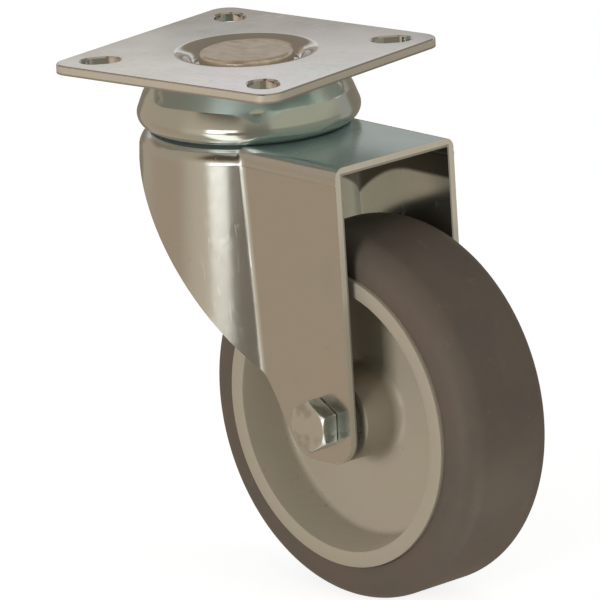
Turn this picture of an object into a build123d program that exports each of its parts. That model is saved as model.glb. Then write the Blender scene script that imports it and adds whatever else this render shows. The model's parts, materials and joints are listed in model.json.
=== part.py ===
from build123d import *
import os
from math import atan2, cos, pi, radians, sqrt, tan

# Swivel castor with a square top plate, a double ball-race swivel head and a rubber-tyred wheel.
# The plate frame is the part's frame: origin at the middle of the plate's top face, +Z up, millimetres.
# The swivel head turns about Z. The fork carries the wheel behind the swivel axis, along the fork's own +X.

# ---- top plate ----
plate_side = 60.0
plate_thickness = 2.0
plate_corner_radius = 4.5
plate_edge_round = 0.5
sheet_join = 0.1
bolt_spacing = 44.0
slot_width = 6.3
slot_length = 8.5
slot_chamfer = 0.35
dish_depth = 2.4
dish_floor_radius = 11.6
dish_wall_run = 1.8
dish_rim_bend = 2.6
dish_floor_bend = 1.0

# ---- kingpin ----
pin_radius = 5.0
pin_head_radius = 10.1
pin_head_sink = 0.1
pin_head_round = 0.7
pin_foot_radius = 8.0
pin_foot_height = 2.2
pin_foot_break = 0.6

# ---- swivel head ----
head_height = 15.6
skirt_shoulder_radius = 18.4
skirt_waist_drop = 6.2
skirt_waist_radius = 22.5
skirt_waist_bend = 2.5
skirt_lip_corner_radius = 24.3
skirt_lip_gap = 0.4
skirt_lip_run = 2.6
skirt_lip_drop = 2.5
skirt_shoulder_inside = 0.5
skirt_lip_inside = 0.1
race_sheet = 1.5
race_bore_gap = 0.3
upper_ball_diameter = 6.0
lower_ball_diameter = 5.0
lower_ball_pitch_radius = 8.0
lower_race_sheet = 1.6
ball_clearance = 0.12
ball_spacing_gap = 0.2
crown_under_plate_gap = 1.0

# ---- fork ----
fork_sheet = 1.8
fork_width = 34.1
crown_radius = 23.5
crown_step_radius = 18.2
crown_hole_clearance = 1.4
cheek_flare = 3.0
valley_bend = 2.5
crown_edge_bend = 3.9
leg_edge_bend = 2.2
edge_steps = 7
edge_plan_gap = 0.02
bend_inside = 0.4
hollow_bend = 1.3
crown_straight = 0.2
leg_front_top = 44.7
leg_front_foot = 46.1
leg_below_axle = 8.4
foot_front_bend = 6.0
foot_back_bend = 7.0
crown_band = 6.0
rake_top_reach = -15.5
rake_knee_reach = 21.8
rake_knee_above_axle = 5.7
rake_foot_reach = 30.2
rake_top_bend = 6.0
rake_knee_bend = 40.0
rest_swivel_angle = -9.1

# ---- wheel ----
axle_trail = 36.9
axle_drop = 71.9
wheel_radius = 40.0
tyre_width = 24.8
tyre_shoulder = 5.2
tyre_lip = 0.5
core_radius = 32.2
core_wall = 3.5
core_wall_draft = 1.6
core_key_height = 1.2
core_key_width = 7.0
web_thickness = 6.0
web_bend = 1.4
hub_bend = 2.3
hub_radius = 9.6
hub_draft = 0.3
hub_leg_gap = 2.85
edge_break = 0.4

# ---- wheel bearings ----
bearing_bore_radius = 3.0
bearing_outer_radius = 7.5
bearing_width = 5.0
bearing_sink = 0.3
bearing_ball_diameter = 2.4
bearing_ball_count = 8
bearing_race_clearance = 0.06
bearing_land = 0.4
cage_wall = 0.9
cage_reach = 1.6
cage_hold = 0.7
shield_thickness = 0.3
shield_gap = 0.2
shield_sink = 0.1
hub_shoulder_radius = 6.2

# ---- axle ----
axle_radius = 2.95
axle_clearance = 0.05
hex_flats = 10.0
bolt_head_height = 4.0
nut_height = 4.8
nut_collar_height = 1.7
nut_collar_radius = 4.3
insert_wall = 1.0
thread_stickout = 2.0
hex_chamfer_angle = 30.0
hex_face_share = 0.96
tube_wall = 1.0
spacer_radius = 4.4


# ---- levels and radii that follow from the sizes above ----
plate_under = -plate_thickness
dish_floor = -dish_depth
dish_under = dish_floor - plate_thickness
dish_wall_angle = atan2(dish_depth, dish_wall_run)
dish_rim_radius = dish_floor_radius + dish_wall_run
dish_edge_radius = dish_rim_radius + dish_rim_bend * tan(dish_wall_angle / 2)
upper_ball_radius = upper_ball_diameter / 2
lower_ball_radius = lower_ball_diameter / 2
flange_under = plate_under - race_sheet
upper_ball_level = flange_under - ball_clearance - upper_ball_radius
crown_ledge = upper_ball_level - upper_ball_radius - ball_clearance
crown_top = dish_under - crown_under_plate_gap
crown_under = crown_top - fork_sheet
lower_ball_level = crown_under - ball_clearance - lower_ball_radius
lower_race_floor = lower_ball_level - lower_ball_radius - ball_clearance
pin_foot_top = lower_race_floor - lower_race_sheet
fork_roof = -head_height
skirt_foot = fork_roof + skirt_lip_gap

skirt_slope = atan2(skirt_waist_radius - skirt_shoulder_radius, skirt_waist_drop)
skirt_wall_at_balls = skirt_shoulder_radius + (plate_under - upper_ball_level) * tan(skirt_slope)
upper_ball_pitch_radius = (
    skirt_wall_at_balls - (race_sheet + ball_clearance + upper_ball_radius) / cos(skirt_slope)
)
crown_core_radius = upper_ball_pitch_radius - upper_ball_radius - ball_clearance
upper_ball_count = int(2 * pi * upper_ball_pitch_radius / (upper_ball_diameter + ball_spacing_gap))
lower_ball_count = int(2 * pi * lower_ball_pitch_radius / (lower_ball_diameter + ball_spacing_gap))

axle_level = -axle_drop
leg_inside = fork_width / 2 - fork_sheet
hub_half = leg_inside - hub_leg_gap
bearing_centre = hub_half - bearing_sink - bearing_width / 2
bearing_face = hub_half - bearing_sink
bearing_pitch_radius = (bearing_bore_radius + bearing_outer_radius) / 2
bearing_ball_radius = bearing_ball_diameter / 2
hex_corner_radius = hex_flats / sqrt(3)
bolt_length = fork_width + nut_height + nut_collar_height + thread_stickout


def sheet_section(points, bends, thickness):
    """Section of a pressed sheet: an outer line with rounded bends, and an inner one a sheet to its right."""
    corners = [Vector(*point) for point in points]
    runs = [(end - start).normalized() for start, end in zip(corners, corners[1:])]
    rights = [Vector(run.Y, -run.X) for run in runs]
    inner = [corners[0] + rights[0] * thickness]
    inner_bends = []
    for corner, bend, before, after in zip(corners[1:], bends, rights, rights[1:]):
        inner.append(corner + (before + after) * (thickness / (1 + before.dot(after))))
        turns_left = before.X * after.Y > before.Y * after.X
        inner_bends.append(bend + thickness if turns_left else max(bend - thickness, 0))
    inner.append(corners[-1] + rights[-1] * thickness)
    lines = FilletPolyline(*corners, radius=bends).edges() + FilletPolyline(*inner, radius=inner_bends).edges()
    return make_face(lines + [Line(corners[0], inner[0]), Line(corners[-1], inner[-1])])


def turned(section):
    """Solid of revolution about Z of a section drawn with x as radius and y as height."""
    return revolve(Plane.XZ * section, axis=Axis.Z)


def turned_outline(points, bends):
    """Solid of revolution of a closed outline with one bend radius for each corner."""
    return turned(make_face(FilletPolyline(*points, radius=bends, close=True)))


def ring(outer, inner, low, high):
    """Plain ring about Z between two heights."""
    blank = Pos(0, 0, (low + high) / 2) * Cylinder(outer, high - low)
    return blank - Pos(0, 0, (low + high) / 2) * Cylinder(inner, high - low)


def ball_row(radius, pitch_radius, level, count):
    """A row of separate balls evenly spaced about Z."""
    places = PolarLocations(pitch_radius, count)
    return [Pos(0, 0, level) * place * Sphere(radius) for place in places]


def in_fork(piece):
    """Turns a piece of the swivelling group to its rest angle about the kingpin."""
    return Rot(0, 0, rest_swivel_angle) * piece


def on_axle(piece):
    """Carries a piece drawn about Z to the wheel axle: its +Z points along the fork's +Y."""
    return in_fork(Pos(axle_trail, 0, axle_level) * Rot(-90, 0, 0) * piece)


def on_axle_far_side(piece):
    """The same, turned end for end, so that its +Z points along the fork's -Y."""
    return in_fork(Pos(axle_trail, 0, axle_level) * Rot(90, 0, 0) * piece)


# ---- top plate and kingpin ----
def make_top_plate():
    blank = Rectangle(plate_side, plate_side)
    blank = fillet(blank.vertices(), plate_corner_radius)
    plate = extrude(blank, -plate_thickness)
    plate = fillet(plate.faces().sort_by(Axis.Z)[-1].edges(), plate_edge_round)
    join = dish_edge_radius + sheet_join
    plate -= Pos(0, 0, -plate_thickness / 2) * Cylinder(join, plate_thickness * 2)
    plate += turned(
        sheet_section(
            [(pin_radius, dish_floor), (dish_floor_radius, dish_floor), (dish_rim_radius, 0), (join, 0)],
            [dish_floor_bend, dish_rim_bend],
            plate_thickness,
        )
    )
    slot = Rot(0, 0, 45) * SlotOverall(slot_length, slot_width)
    mouth = Rot(0, 0, 45) * SlotOverall(slot_length + 2 * slot_chamfer, slot_width + 2 * slot_chamfer)
    for number, corner in enumerate(((1, 1), (-1, 1), (-1, -1), (1, -1))):
        place = Pos(corner[0] * bolt_spacing / 2, corner[1] * bolt_spacing / 2, 0) * Rot(0, 0, 90 * number)
        plate -= extrude(place * slot, -plate_thickness)
        plate -= extrude(place * mouth, -slot_chamfer, taper=45)
    return plate


def make_kingpin():
    head_top = -pin_head_sink
    foot = pin_foot_top - pin_foot_height
    outline = [
        (0, head_top),
        (pin_head_radius, head_top),
        (pin_head_radius, dish_floor),
        (pin_radius, dish_floor),
        (pin_radius, pin_foot_top),
        (pin_foot_radius, pin_foot_top),
        (pin_foot_radius, foot + pin_foot_break),
        (pin_foot_radius - pin_foot_break, foot),
        (0, foot),
    ]
    return turned_outline(outline, [0, pin_head_round, 0, 0, 0, 0, 0, 0, 0])


# ---- swivel races and balls ----
def make_upper_race():
    outline = [
        (dish_edge_radius + race_bore_gap, plate_under),
        (skirt_shoulder_radius, plate_under),
        (skirt_waist_radius, plate_under - skirt_waist_drop),
        (skirt_lip_corner_radius, skirt_foot + skirt_lip_drop),
        (skirt_lip_corner_radius - skirt_lip_run, skirt_foot),
    ]
    bends = [race_sheet + skirt_shoulder_inside, skirt_waist_bend, race_sheet + skirt_lip_inside]
    return turned(sheet_section(outline, bends, race_sheet))


def make_lower_race():
    lip_base = lower_ball_pitch_radius + lower_ball_radius / 2
    lip = lower_ball_radius / 2
    outline = [
        (pin_radius, lower_race_floor),
        (lip_base, lower_race_floor),
        (lip_base + lip, lower_race_floor + lip),
    ]
    return turned(sheet_section(outline, [hollow_bend], lower_race_sheet))


# ---- fork ----
def bend_inset(bend, below):
    """How far a rounded edge stands in at a depth below its top."""
    return bend - sqrt(bend**2 - (bend - below) ** 2) if below < bend else 0


def fork_form(inset):
    """Solid under the fork's skin, set in from the outside by inset: a round crown that runs into two flat legs.
    Plans at several depths give the rounded edges, which are wider around the crown than along the legs."""
    depth = axle_drop + leg_below_axle - head_height - inset
    reach = leg_front_foot + 10
    half = fork_width / 2 - inset
    crown_bend = crown_edge_bend - inset
    leg_bend = leg_edge_bend - inset

    def plan(below):
        radius = crown_radius - inset + (below + inset) * tan(radians(cheek_flare))
        crown = Circle(radius - bend_inset(crown_bend, below))
        legs = Pos(reach / 2, 0) * Rectangle(reach, 2 * (half - bend_inset(leg_bend, below)))
        shape = crown + legs
        valley = shape.vertices().filter_by(lambda v: v.X < reach - 1)
        return Pos(0, 0, fork_roof - inset - below) * fillet(valley, valley_bend + inset)

    turns = [cos(radians(90 * step / edge_steps)) for step in range(edge_steps + 1)]
    depths = sorted(bend * (1 - turn) for bend in (crown_bend, leg_bend) for turn in turns)
    plans = [plan(below) for below, above in zip(depths, [-1] + depths) if below - above > edge_plan_gap]
    return loft(plans) + loft([plans[-1], plan(depth)], ruled=True)


def fork_side():
    """The fork's outline seen from the side, as a solid that trims the pressing."""
    foot = axle_level - leg_below_axle
    outline = [
        (leg_front_top, fork_roof + 10),
        (leg_front_top, fork_roof),
        (leg_front_foot, foot),
        (rake_foot_reach, foot),
        (rake_knee_reach, axle_level + rake_knee_above_axle),
        (rake_top_reach, fork_roof - crown_band),
        (-crown_radius - 10, fork_roof - crown_band),
        (-crown_radius - 10, fork_roof + 10),
    ]
    bends = [0, 0, foot_front_bend, foot_back_bend, rake_knee_bend, rake_top_bend, 0, 0]
    face = make_face(FilletPolyline(*outline, radius=bends, close=True))
    return extrude(Plane.XZ * face, 2 * crown_radius, both=True)


def make_fork():
    pressing = (fork_form(0) - fork_form(fork_sheet)) & fork_side()
    join = crown_step_radius + hollow_bend + sheet_join
    pressing -= Pos(0, 0, fork_roof) * Cylinder(join, fork_sheet * 2)
    convex = fork_sheet + bend_inside
    bend_share = min(1, (crown_top - crown_ledge - crown_straight) / (convex + hollow_bend))
    crown_bends = [bend * bend_share for bend in (convex, hollow_bend, convex, hollow_bend)]
    crown = [
        (pin_radius + crown_hole_clearance, crown_top),
        (crown_core_radius, crown_top),
        (crown_core_radius, crown_ledge),
        (crown_step_radius, crown_ledge),
        (crown_step_radius, fork_roof),
        (join, fork_roof),
    ]
    pressing += turned(sheet_section(crown, crown_bends, fork_sheet))
    axle_hole = Pos(axle_trail, 0, axle_level) * Rot(90, 0, 0) * Cylinder(axle_radius + axle_clearance, 100)
    return pressing - axle_hole


# ---- wheel ----
def make_wheel_core():
    half = tyre_width / 2
    web = web_thickness / 2
    inner = core_radius - core_wall
    seat = hub_half - bearing_sink - bearing_width
    side = [
        (hub_shoulder_radius, seat),
        (bearing_outer_radius, seat),
        (bearing_outer_radius, hub_half - edge_break),
        (bearing_outer_radius + edge_break, hub_half),
        (hub_radius - hub_draft - edge_break, hub_half),
        (hub_radius - hub_draft, hub_half - edge_break),
        (hub_radius, web),
        (inner - core_wall_draft, web),
        (inner, half - edge_break),
        (inner + edge_break, half),
        (core_radius - edge_break, half),
        (core_radius, half - edge_break),
        (core_radius, core_key_width / 2),
        (core_radius + core_key_height, core_key_width / 2),
    ]
    bends = [0, 0, 0, 0, 0, 0, hub_bend, web_bend, 0, 0, 0, 0, 0, 0]
    outline = side + [(radius, -height) for radius, height in reversed(side)]
    return turned_outline(outline, bends + bends[::-1])


def make_tyre():
    half = tyre_width / 2
    lip = tyre_lip
    side = [
        (core_radius + core_key_height, core_key_width / 2),
        (core_radius, core_key_width / 2),
        (core_radius, half - lip),
        (core_radius + lip, half),
        (wheel_radius, half),
    ]
    bends = [0, 0, 0, 0, tyre_shoulder]
    outline = side + [(radius, -height) for radius, height in reversed(side)]
    return turned_outline(outline, bends + bends[::-1])


# ---- wheel bearings, drawn about Z with the bearing's middle at the origin ----
def bearing_groove():
    groove = bearing_ball_radius + bearing_race_clearance
    return Torus(bearing_pitch_radius, groove)


def make_inner_ring():
    land = bearing_pitch_radius - bearing_ball_radius + bearing_land
    blank = ring(land, bearing_bore_radius, -bearing_width / 2, bearing_width / 2)
    return blank - bearing_groove()


def make_outer_ring():
    land = bearing_pitch_radius + bearing_ball_radius - bearing_land
    blank = ring(bearing_outer_radius, land, -bearing_width / 2, bearing_width / 2)
    return blank - bearing_groove()


def make_cage():
    half = cage_wall / 2
    cage = ring(bearing_pitch_radius + half, bearing_pitch_radius - half, -cage_hold, cage_reach)
    pocket = Cylinder(bearing_ball_radius + bearing_race_clearance, 2 * cage_wall, rotation=(0, 90, 0))
    for place in PolarLocations(bearing_pitch_radius, bearing_ball_count):
        cage -= place * pocket
    return cage


def make_shields():
    outer = bearing_pitch_radius + bearing_ball_radius - bearing_land
    inner = bearing_pitch_radius - bearing_ball_radius + bearing_land + shield_gap
    high = bearing_width / 2 - shield_sink
    disc = ring(outer, inner, high - shield_thickness, high)
    return [disc, Rot(180, 0, 0) * disc]


# ---- axle ----
def hexagon(height):
    """Hexagonal prism from z = 0 up, two corners on the Y axis, its top corners turned off to a cone."""
    prism = extrude(RegularPolygon(hex_corner_radius, 6, rotation=90), height)
    face = hex_flats / 2 * hex_face_share
    wide = hex_corner_radius * 1.2
    shoulder = height - (wide - face) * tan(radians(hex_chamfer_angle))
    envelope = Polyline((0, 0), (wide, 0), (wide, shoulder), (face, height), (0, height), close=True)
    return prism & turned(make_face(envelope))


def make_axle_bolt():
    face = -fork_width / 2
    head = Pos(0, 0, face) * Rot(180, 0, 0) * hexagon(bolt_head_height)
    shank = Pos(0, 0, face + bolt_length / 2) * Cylinder(axle_radius, bolt_length)
    tip = shank.faces().sort_by(Axis.Z)[-1].edges()
    return head + chamfer(tip, edge_break)


def make_axle_nut():
    bore = axle_radius + axle_clearance
    face = fork_width / 2
    top = face + nut_height + nut_collar_height
    nut = Pos(0, 0, face) * hexagon(nut_height)
    collar = Pos(0, 0, face + nut_height + nut_collar_height / 2) * Cylinder(
        nut_collar_radius, nut_collar_height
    )
    collar = chamfer(collar.faces().sort_by(Axis.Z)[-1].edges(), edge_break)
    nut += collar
    nut -= Pos(0, 0, top) * Cylinder(bore, 4 * nut_height)
    return nut - Pos(0, 0, top) * Cylinder(bore + insert_wall / 2, 2 * nut_collar_height)


def make_nut_insert():
    bore = axle_radius + axle_clearance
    face = fork_width / 2 + nut_height
    return ring(bore + insert_wall / 2, bore, face, face + nut_collar_height - edge_break)


def make_distance_tube():
    bore = axle_radius + axle_clearance
    reach = bearing_face - bearing_width
    return ring(bore + tube_wall, bore, -reach, reach)


def make_spacers():
    washer = ring(spacer_radius, axle_radius + axle_clearance, bearing_face, leg_inside)
    return [washer, Rot(180, 0, 0) * washer]


def write(name, *solids):
    """Writes one node. A node of several solids keeps them apart in a compound."""
    pieces = [solid for shape in solids for solid in shape.solids()]
    shape = pieces[0] if len(pieces) == 1 else Compound(children=pieces)
    export_step(shape, f"parts/{name}.step")


os.makedirs("parts", exist_ok=True)

write("top_plate", make_top_plate())
write("kingpin", make_kingpin())
write("upper_race", make_upper_race())
write("lower_race", make_lower_race())
upper_balls = ball_row(upper_ball_radius, upper_ball_pitch_radius, upper_ball_level, upper_ball_count)
lower_balls = ball_row(lower_ball_radius, lower_ball_pitch_radius, lower_ball_level, lower_ball_count)
write("upper_balls", *upper_balls)
write("lower_balls", *lower_balls)

write("fork", in_fork(make_fork()))
write("axle_bolt", on_axle(make_axle_bolt()))
write("axle_nut", on_axle(make_axle_nut()))
write("nut_insert", on_axle(make_nut_insert()))
write("distance_tube", on_axle(make_distance_tube()))
write("axle_spacers", *[on_axle(washer) for washer in make_spacers()])

write("wheel_core", on_axle(make_wheel_core()))
write("tyre", on_axle(make_tyre()))
for side, carry in (("bolt_side", on_axle_far_side), ("nut_side", on_axle)):
    seat = Pos(0, 0, bearing_centre)
    balls = ball_row(bearing_ball_radius, bearing_pitch_radius, 0, bearing_ball_count)
    write(f"inner_ring_{side}", carry(seat * make_inner_ring()))
    write(f"outer_ring_{side}", carry(seat * make_outer_ring()))
    write(f"bearing_balls_{side}", *[carry(seat * ball) for ball in balls])
    write(f"bearing_cage_{side}", carry(seat * make_cage()))
    write(f"bearing_shields_{side}", *[carry(seat * disc) for disc in make_shields()])
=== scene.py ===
import json
from math import atan2, ceil, cos, degrees, pi, radians, sin, sqrt, tan

import bmesh
import bpy
from bpy.props import FloatProperty, FloatVectorProperty, IntProperty, PointerProperty
from mathutils import Matrix, Vector


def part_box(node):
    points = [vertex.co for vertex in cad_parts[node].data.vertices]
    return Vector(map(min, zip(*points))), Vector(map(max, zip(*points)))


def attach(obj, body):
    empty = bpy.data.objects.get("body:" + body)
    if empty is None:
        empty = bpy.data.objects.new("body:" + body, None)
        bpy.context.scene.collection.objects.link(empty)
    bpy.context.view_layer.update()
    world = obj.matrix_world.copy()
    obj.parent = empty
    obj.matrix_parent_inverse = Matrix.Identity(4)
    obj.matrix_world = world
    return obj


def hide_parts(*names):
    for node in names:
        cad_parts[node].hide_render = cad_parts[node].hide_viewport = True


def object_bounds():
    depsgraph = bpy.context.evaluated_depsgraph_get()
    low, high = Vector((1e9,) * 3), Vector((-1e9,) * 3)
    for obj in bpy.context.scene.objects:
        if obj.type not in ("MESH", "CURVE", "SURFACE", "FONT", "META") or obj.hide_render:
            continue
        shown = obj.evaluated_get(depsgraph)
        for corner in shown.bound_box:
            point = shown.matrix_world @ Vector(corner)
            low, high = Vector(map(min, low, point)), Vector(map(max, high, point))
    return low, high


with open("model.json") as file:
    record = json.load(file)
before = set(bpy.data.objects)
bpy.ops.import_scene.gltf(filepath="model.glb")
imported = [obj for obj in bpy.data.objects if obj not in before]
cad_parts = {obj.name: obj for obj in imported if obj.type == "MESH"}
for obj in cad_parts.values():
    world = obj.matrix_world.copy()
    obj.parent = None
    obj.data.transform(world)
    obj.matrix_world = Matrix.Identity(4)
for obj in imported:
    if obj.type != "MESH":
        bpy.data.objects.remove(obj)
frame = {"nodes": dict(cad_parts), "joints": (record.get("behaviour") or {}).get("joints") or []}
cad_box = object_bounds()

bl_info = {
    "name": "Swivel castor",
    "version": (1, 0, 0),
    "blender": (4, 5, 0),
    "location": "3D View > Sidebar > Castor",
    "description": "Finishes and detailed pieces for a zinc-plated swivel castor with a grey tyre",
    "category": "Object",
}

MM = 0.001
ORIGIN = Vector((0, 0, 0))
UP = Vector((0, 0, 1))

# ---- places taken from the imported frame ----
WHEEL_JOINT = next(joint for joint in frame["joints"] if joint["name"] == "wheel_spin")
AXLE = Vector(WHEEL_JOINT["pos_m"])
ACROSS = Vector(WHEEL_JOINT["axis"]).normalized()  # along the axle, towards the nut
FORWARD = ACROSS.cross(UP)  # from the kingpin towards the axle
# Sets a piece that is drawn about Z on the axle.
AXLE_ROWS = Matrix((FORWARD, ACROSS.cross(FORWARD), ACROSS))
ON_AXLE = Matrix.Translation(AXLE) @ AXLE_ROWS.transposed().to_4x4()
IN_PLACE = Matrix.Identity(4)
FLOOR_LEVEL = cad_box[0].z


def turned_size(node, centre, along):
    """Lowest and highest place along the axis, and smallest and largest radius, of a CAD node."""
    offsets = [vertex.co - centre for vertex in frame["nodes"][node].data.vertices]
    heights = [offset.dot(along) for offset in offsets]
    radii = [(offset - along * height).length for offset, height in zip(offsets, heights)]
    return min(heights), max(heights), min(radii), max(radii)


_, TYRE_HIGH, _, TYRE_RADIUS = turned_size("tyre", AXLE, ACROSS)
_, CORE_HIGH, CORE_BORE, CORE_KEY_RADIUS = turned_size("wheel_core", AXLE, ACROSS)
BOLT_LOW, BOLT_HIGH, _, BOLT_CORNER_RADIUS = turned_size("axle_bolt", AXLE, ACROSS)
NUT_LOW, NUT_HIGH, _, NUT_CORNER_RADIUS = turned_size("axle_nut", AXLE, ACROSS)
PIN_LOW, PIN_HIGH, _, PIN_HEAD_RADIUS = turned_size("kingpin", ORIGIN, UP)
RACE_UNDER = turned_size("lower_race", ORIGIN, UP)[0]
PLATE_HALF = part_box("top_plate")[1].x
PLATE_THICKNESS = 2.0 * MM
ROOF = 15.6 * MM  # depth of the fork's roof under the plate's face


# ---- what a user may change ----
def number(words, default, **kind):
    return FloatProperty(description=words, default=default, **kind)


def length(words, millimetres):
    return number(words, millimetres * MM, min=0, unit="LENGTH", precision=5)


def power(words, watts):
    return number(words, watts, min=0, unit="POWER")


def angle(words, turn):
    return number(words, radians(turn), subtype="ANGLE")


def share(words, part):
    return number(words, part, min=0, max=1, subtype="FACTOR")


def colour(words, *parts):
    kind = {"min": 0, "max": 1, "size": 3, "subtype": "COLOR"}
    return FloatVectorProperty(description=words, default=parts, **kind)


def count(words, steps):
    return IntProperty(description=words, default=steps, min=8)


class StudioSettings(bpy.types.PropertyGroup):
    background: colour("Colour of the floor and of what lies behind it", 1, 1, 1)
    sky_level: share("Even light from all around on dull surfaces", 0.34)
    sky_colour: colour("Colour of the even light", 1, 0.985, 0.96)
    key_power: power("Power of the main lamp", 7.6)
    fill_power: power("Power of the side lamp", 4.4)
    floor_colour: colour("What the floor gives back of the lamps", 0.5, 0.5, 0.5)
    floor_glow: share("What the floor adds where the background is seen", 0.81)
    tent_radius: length("Radius of the reflection tent", 1200)
    tent_colour: colour("What metal reflects between the panels", 0.5, 0.4, 0.31)
    lens: length("Focal length of the camera", 446.99)
    sensor: length("Width of the camera's picture", 36)


class SheetSettings(bpy.types.PropertyGroup):
    plate_colour: colour("Plating of the top plate", 0.67, 0.665, 0.66)
    fork_colour: colour("Plating of the fork", 0.60, 0.635, 0.61)
    race_colour: colour("Plating of the swivel races", 0.60, 0.655, 0.625)
    cool_tint: colour("Thin, bluish plating", 0.52, 0.62, 0.6)
    warm_tint: colour("Thicker plating", 0.63, 0.615, 0.565)
    stain_colour: colour("Where drops dried on the plating", 0.22, 0.2, 0.17)
    plate_edge_colour: colour("Dull zinc on the plate's sides", 0.54, 0.48, 0.38)
    # The fork's edge colour is light as a painted highlight of the rounded edge, over its dull
    # zinc.
    fork_edge_colour: colour("Dull zinc on the fork's edges", 0.68, 0.62, 0.5)
    half_width: length("From the fork's middle to a leg's outer face", 17.05)
    sheet: length("Thickness of the fork's sheet", 1.8)
    plate_roughness: share("How dull the top plate is", 0.055)
    fork_roughness: share("How dull the fork is", 0.17)
    race_roughness: share("How dull the races are", 0.13)
    plate_wave: length("Height of the waves in the plate's face", 0.03)
    sheet_wave: length("Height of the waves in fork and races", 0.05)


class PlateSettings(bpy.types.PropertyGroup):
    corner: length("Rounding of the four corners", 4.5)
    edge_round: length("Rounding of the upper edge", 0.5)
    slot_place: length("From the plate's middle to a slot's, in x and in y", 22.0)
    slot_width: length("Width of a slot", 6.3)
    slot_length: length("Length of a slot", 8.5)
    slot_mouth: length("Bevel around a slot's mouth", 0.35)
    dish_radius: length("Radius at which the dish begins", 15.5)
    dish_depth: length("Depth of the dish's floor", 2.4)
    dish_slope: angle("Slope of the dish's wall", 48)
    rim_bend: length("Bend from the plate into the dish", 3.8)
    floor_bend: length("Bend from the dish's wall into its floor", 1.2)
    boss_radius: length("Radius of the dish's underside at the plate", 14.85)
    boss_foot: length("Radius of the dish's underside at its foot", 13.2)
    boss_round: length("Rounding of the underside's foot", 1.0)
    steps: count("Edges around the dish", 128)


class SkirtSettings(bpy.types.PropertyGroup):
    sheet: length("Thickness of the skirt's sheet", 1.5)
    bore: length("Radius of the hole at the top", 15.0)
    top: length("Depth of the flat top under the plate's face", 2.0)
    shoulder_radius: length("Radius of the upper corner", 18.4)
    waist_radius: length("Radius of the crease above the lip", 22.5)
    waist: length("Depth of the crease", 8.2)
    lip_radius: length("Radius of the lip's corner", 24.5)
    lip: length("Depth of the lip's corner", 13.4)
    foot_radius: length("Radius of the turned-in foot", 21.7)
    foot: length("Depth of the foot, just clear of the fork", 15.55)
    shoulder_bend: length("Bend of the upper corner", 2.0)
    waist_bend: length("Bend of the crease", 2.5)
    lip_bend: length("Bend of the lip", 2.8)
    foot_round: length("Rounding of the sheet's cut end", 0.12)
    lean: angle("How far the skirt is pressed askew", 0.05)
    lean_side: angle("Azimuth of the side to which it leans", -51)
    steps: count("Edges around the skirt", 192)


class PinSettings(bpy.types.PropertyGroup):
    colour: colour("Bare steel of the rivet head", 0.88, 0.83, 0.75)
    worn_colour: colour("Steel that handling made dull", 0.75, 0.69, 0.61)
    spot_colour: colour("Zinc left on the head", 0.82, 0.76, 0.74)
    radius: length("Radius of the pin", 5.0)
    seat: length("Depth of the dish that the head lies in", 2.4)
    foot_radius: length("Radius of the riveted foot", 8.0)
    foot_round: length("Rounding of the foot against the race", 0.3)
    rounding: length("Rounding of the head's rim", 0.7)
    dent_size: length("Width of the hammer marks", 3.2)
    dent_depth: length("Depth of the hammer marks", 0.2)
    fade: length("Width over which the marks fade out at the rim", 1.6)
    steps: count("Edges around the pin", 128)


class WheelSettings(bpy.types.PropertyGroup):
    core_colour: colour("Moulded plastic of the wheel centre", 0.37, 0.32, 0.245)
    tyre_colour: colour("Soft rubber of the tyre", 0.113, 0.088, 0.068)
    # Darker colour laid in fine patches along the corner where the web meets the rim.
    grime_colour: colour("Dust in the corner of the web", 0.14, 0.12, 0.09)
    speck_colour: colour("Dark specks in the plastic", 0.16, 0.13, 0.1)
    dust_colour: colour("Smudges of dust on the tyre", 0.2, 0.175, 0.145)
    rim_radius: length("Outside of the rim, where the tyre begins", 32.2)
    rim_wall: length("Thickness of the rim band", 3.5)
    wall_draft: length("Slope of the rim's inner wall", 1.6)
    rim_proud: length("How far the rim stands out of the tyre's side", 0.8)
    key_width: length("Width of the rib that holds the tyre", 7.0)
    web: length("Thickness of the web", 6.0)
    hub_radius: length("Radius of the hub at the web", 9.6)
    hub_draft: length("How much the hub narrows", 0.3)
    bearing_radius: length("Radius of the bearing's seat", 7.5)
    bearing_seat: length("Place of the bearing's shoulder from the middle", 7.1)
    web_round: length("Rounding where the web meets the rim", 1.4)
    hub_round: length("Rounding where the web meets the hub", 2.3)
    edge_round: length("Rounding of the rim's edges", 0.35)
    tyre_shoulder: length("Rounding of the tread's edges", 5.2)
    tyre_lip: length("Rounding of the tyre beside the rim", 0.5)
    steps: count("Edges around the wheel", 192)


class AxleSettings(bpy.types.PropertyGroup):
    colour: colour("Plating of bolt and nut", 0.67, 0.73, 0.71)
    shade_colour: colour("Thinner plating on bolt and nut", 0.5, 0.53, 0.5)
    head_height: length("Height of the bolt's head", 4.0)
    nut_height: length("Height of the nut's hexagon", 4.8)
    shank: length("Radius of the bolt", 2.95)
    pitch: length("Rise of the thread in one turn", 1.0)
    thread_depth: length("Depth of the thread", 0.55)
    washer_face: length("Height of the round face under the hexagon", 0.2)
    collar_radius: length("Radius of the nut's collar", 4.3)
    collar_round: length("Rounding of the collar's edge", 0.8)
    edge_round: length("Rounding of the hexagons' edges", 0.14)
    steps: count("Edges around bolt and nut", 72)


SETTINGS = {
    "castor_studio": StudioSettings,
    "castor_sheet": SheetSettings,
    "castor_plate": PlateSettings,
    "castor_skirt": SkirtSettings,
    "castor_pin": PinSettings,
    "castor_wheel": WheelSettings,
    "castor_axle": AxleSettings,
}

# A setting is shown under the name of its field.
for settings_group in SETTINGS.values():
    for field_name, setting in settings_group.__annotations__.items():
        setting.keywords["name"] = field_name.replace("_", " ").capitalize()


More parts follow.
